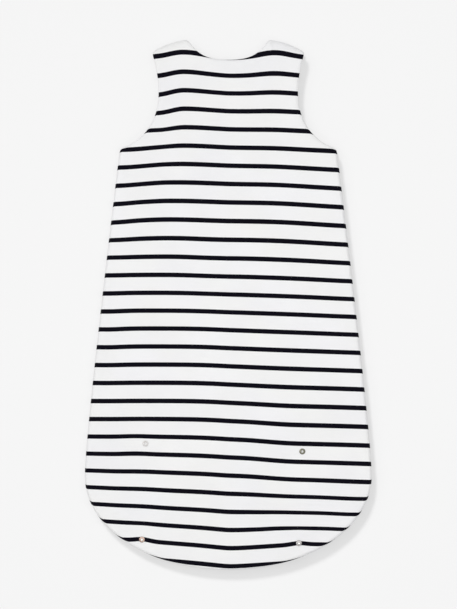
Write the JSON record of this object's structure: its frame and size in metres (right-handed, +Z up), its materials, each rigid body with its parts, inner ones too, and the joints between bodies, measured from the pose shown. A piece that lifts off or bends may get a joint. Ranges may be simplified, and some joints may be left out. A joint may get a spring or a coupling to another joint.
{
  "type": "baby sleeping bag",
  "caption": "Sleeveless padded baby sleeping bag, striped, lying flat on its front, with a centre-front zip and a foot end that folds up and snaps to the back to shorten it.",
  "frame": {"origin": "centre of the outline, on the surface that the bag lies on", "axes": "+Z up, out of the bag's back; +Y from the foot to the neck; +X to the right of someone who looks down at the back"},
  "size_m": [0.46, 0.85, 0.0283],
  "materials": {
    "striped_jersey": "fine single jersey, white with navy pinstripes about 7 mm wide, 29 mm apart",
    "wadding": "lofty polyester wadding",
    "white_jersey": "plain white single jersey",
    "seam_cloth": "jersey turnings, overlocked, and snap patches of bonded cloth",
    "zip_tape": "woven herringbone polyester tape",
    "zip_teeth": "moulded white polyester coil",
    "zip_metal": "zinc die casting, white enamel",
    "label_tape": "white satin label tape, blank",
    "snap_metal": "nickel-plated brass, worn warm at the edges",
    "prong_ring_metal": "nickel-plated pressed brass"
  },
  "bodies": {
    "main": {"back_shell": "striped_jersey", "front_shell_left": "striped_jersey", "front_shell_right": "striped_jersey", "back_wadding": "wadding", "front_wadding_left": "wadding", "front_wadding_right": "wadding", "back_lining": "white_jersey", "front_lining_left": "white_jersey", "front_lining_right": "white_jersey", "zip_underlap": "white_jersey", "side_seam_left": "seam_cloth", "side_seam_right": "seam_cloth", "shoulder_seam_left": "seam_cloth", "shoulder_seam_right": "seam_cloth", "socket_patch_left": "seam_cloth", "socket_patch_right": "seam_cloth", "zip_tape_left": "zip_tape", "zip_tape_right": "zip_tape", "zip_teeth_left": "zip_teeth", "zip_teeth_right": "zip_teeth", "zip_top_stop_left": "zip_metal", "zip_top_stop_right": "zip_metal", "zip_bottom_stop": "zip_metal", "care_label": "label_tape", "neck_label": "label_tape", "snap_socket_left": "snap_metal", "snap_socket_right": "snap_metal", "socket_prong_ring_left": "prong_ring_metal", "socket_prong_ring_right": "prong_ring_metal"},
    "foot": {"back_shell_foot": "striped_jersey", "back_wadding_foot": "wadding", "back_lining_foot": "white_jersey", "front_shell_foot_left": "striped_jersey", "front_shell_foot_right": "striped_jersey", "front_wadding_foot": "wadding", "front_lining_foot": "white_jersey", "foot_seam": "seam_cloth", "snap_stud_left": "snap_metal", "snap_stud_right": "snap_metal", "stud_prong_ring_left": "prong_ring_metal", "stud_prong_ring_right": "prong_ring_metal", "stud_patch_left": "seam_cloth", "stud_patch_right": "seam_cloth"},
    "slider": {"zip_slider": "zip_metal"},
    "pull": {"zip_pull_tab": "zip_metal"}
  },
  "joints": [
    {"name": "foot_fold", "type": "hinge", "parent": "main", "child": "foot", "pos_m": [0, -0.3035, 0.0271], "axis": [-0.9993, 0.0366, 0], "range_deg": [0, 180]},
    {"name": "zip_slide", "type": "slide", "parent": "main", "child": "slider", "axis": [0, -1, 0], "range_m": [0, 0.588]},
    {"name": "zip_pull_swing", "type": "hinge", "parent": "slider", "child": "pull", "pos_m": [0, 0.333, 0.00215], "axis": [1, 0, 0], "range_deg": [0, 180]}
  ]
}
